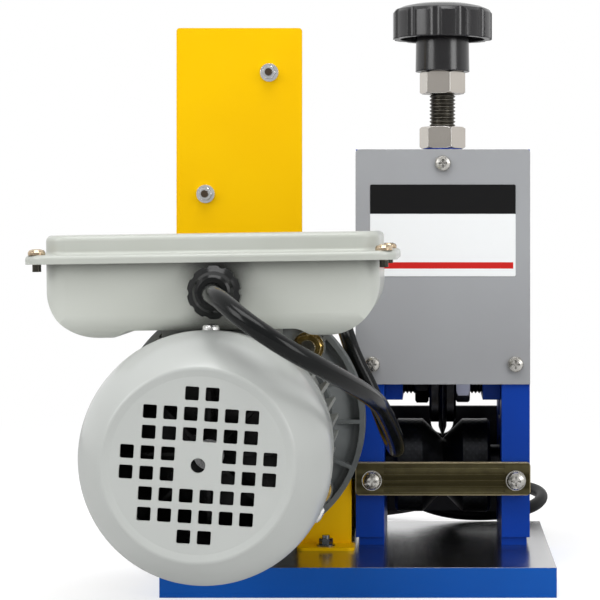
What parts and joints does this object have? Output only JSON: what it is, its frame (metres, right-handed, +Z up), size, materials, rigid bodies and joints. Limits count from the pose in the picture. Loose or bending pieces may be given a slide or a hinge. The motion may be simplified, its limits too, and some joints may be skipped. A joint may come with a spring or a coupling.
{
  "type": "electric wire stripping machine",
  "caption": "Bench wire stripper: worm-geared motor turns a grooved roller, a screw-set cutting disc sits above it, with terminal box, switch panel and mains lead",
  "frame": {"origin": "centre of the base plate's underside", "axes": "+Z up; +Y from the fan end of the motor towards the far side with the buttons; +X from the motor towards the cutter head"},
  "size_m": [0.3168, 0.5762, 0.3896],
  "materials": {
    "base_paint": "satin",
    "blue_paint": "semi-gloss",
    "grey_cover": "satin",
    "label_film": "satin film",
    "zinc": "bright zinc",
    "yellow_zinc": "yellow zinc",
    "bronze": "dark bronze",
    "black_oxide": "black oxide",
    "machined_steel": "machined",
    "cast_grey": "painted casting",
    "light_enamel": "enamel",
    "yellow_paint": "gloss",
    "black_plastic": "moulded",
    "black_rubber": "satin",
    "copper": "enamelled wire",
    "green_plastic": "gloss",
    "red_plastic": "gloss",
    "wheel_bronze": "machined bronze",
    "can_aluminium": "drawn"
  },
  "bodies": {
    "frame": {"base_plate": "base_paint", "frame_bolts": "black_oxide", "left_side_plate": "blue_paint", "right_side_plate": "blue_paint", "side_covers": "blue_paint", "top_block": "machined_steel", "rear_cover": "grey_cover", "front_cover": "grey_cover", "cover_screws": "zinc", "cover_label": "label_film", "tie_bar": "bronze", "wire_guide": "black_oxide", "bar_screws": "zinc", "gearbox_housing": "cast_grey", "gearbox_side_covers": "cast_grey", "motor_adapter": "cast_grey", "flange_shield": "cast_grey", "flange_bolts": "yellow_zinc", "motor_frame": "cast_grey", "rear_shield": "cast_grey", "stator": "copper", "fan_cowl": "light_enamel", "cowl_screws": "light_enamel", "terminal_box": "light_enamel", "lid_gasket": "black_rubber", "terminal_lid": "light_enamel", "lid_screws": "yellow_zinc", "capacitors": "can_aluminium", "cable_glands": "black_plastic", "switch_panel": "yellow_paint", "switch_box": "black_plastic", "switch_box_lid": "black_plastic", "panel_and_guard_fixings": "zinc", "shaft_guard": "yellow_paint", "ball_bearings": "machined_steel", "motor_cable": "black_rubber", "mains_lead": "black_rubber", "mains_coil": "black_rubber", "mains_plug": "black_rubber"},
    "blade_carrier": {"blade_yoke": "blue_paint", "blade_axle": "black_oxide", "axle_nuts": "black_oxide"},
    "blade": {"blade_hub": "black_oxide", "cutting_disc": "machined_steel", "blade_bearings": "machined_steel"},
    "screw": {"adjusting_screw": "black_oxide", "screw_retainer": "machined_steel", "knob_nut": "zinc", "star_knob": "black_plastic"},
    "lock_nut": {"lock_nut": "zinc"},
    "roller": {"feed_roller": "black_oxide", "roller_shaft": "machined_steel", "wheel_hub": "machined_steel", "worm_wheel": "wheel_bronze"},
    "rotor": {"rotor_core": "machined_steel", "motor_shaft": "machined_steel", "cooling_fan": "black_plastic", "worm": "machined_steel"},
    "start_button": {"start_button": "green_plastic"},
    "stop_button": {"stop_button": "red_plastic"}
  },
  "joints": [
    {"name": "blade_lift", "type": "slide", "parent": "frame", "child": "blade_carrier", "axis": [0, 0, 1], "range_m": [-0.001, 0.024]},
    {"name": "knob_turn", "type": "hinge", "parent": "blade_carrier", "child": "screw", "pos_m": [0.0538, 0.038, 0.3], "axis": [0, 0, 1], "range_deg": [-144, 3456]},
    {"name": "lock_nut_turn", "type": "hinge", "parent": "frame", "child": "lock_nut", "pos_m": [0.0538, 0.038, 0.2955], "axis": [0, 0, 1], "range_deg": [0, 360]},
    {"name": "blade_spin", "type": "hinge", "parent": "blade_carrier", "child": "blade", "pos_m": [0.0538, 0.038, 0.1263], "axis": [1, 0, 0], "continuous": true},
    {"name": "rotor_spin", "type": "hinge", "parent": "frame", "child": "rotor", "pos_m": [-0.0767, -0.1, 0.1075], "axis": [0, 1, 0], "continuous": true},
    {"name": "roller_spin", "type": "hinge", "parent": "frame", "child": "roller", "pos_m": [0.0538, 0.038, 0.0675], "axis": [1, 0, 0], "continuous": true},
    {"name": "start_press", "type": "slide", "parent": "frame", "child": "start_button", "axis": [0, -1, 0], "range_m": [0, 0.003], "stiffness_N_per_m": 400},
    {"name": "stop_press", "type": "slide", "parent": "frame", "child": "stop_button", "axis": [0, -1, 0], "range_m": [0, 0.003], "stiffness_N_per_m": 400}
  ],
  "couplings": [
    {"joint": "knob_turn", "follows": "blade_lift", "rad_per_m": 2513.3},
    {"joint": "roller_spin", "follows": "rotor_spin", "ratio": 0.033333}
  ]
}
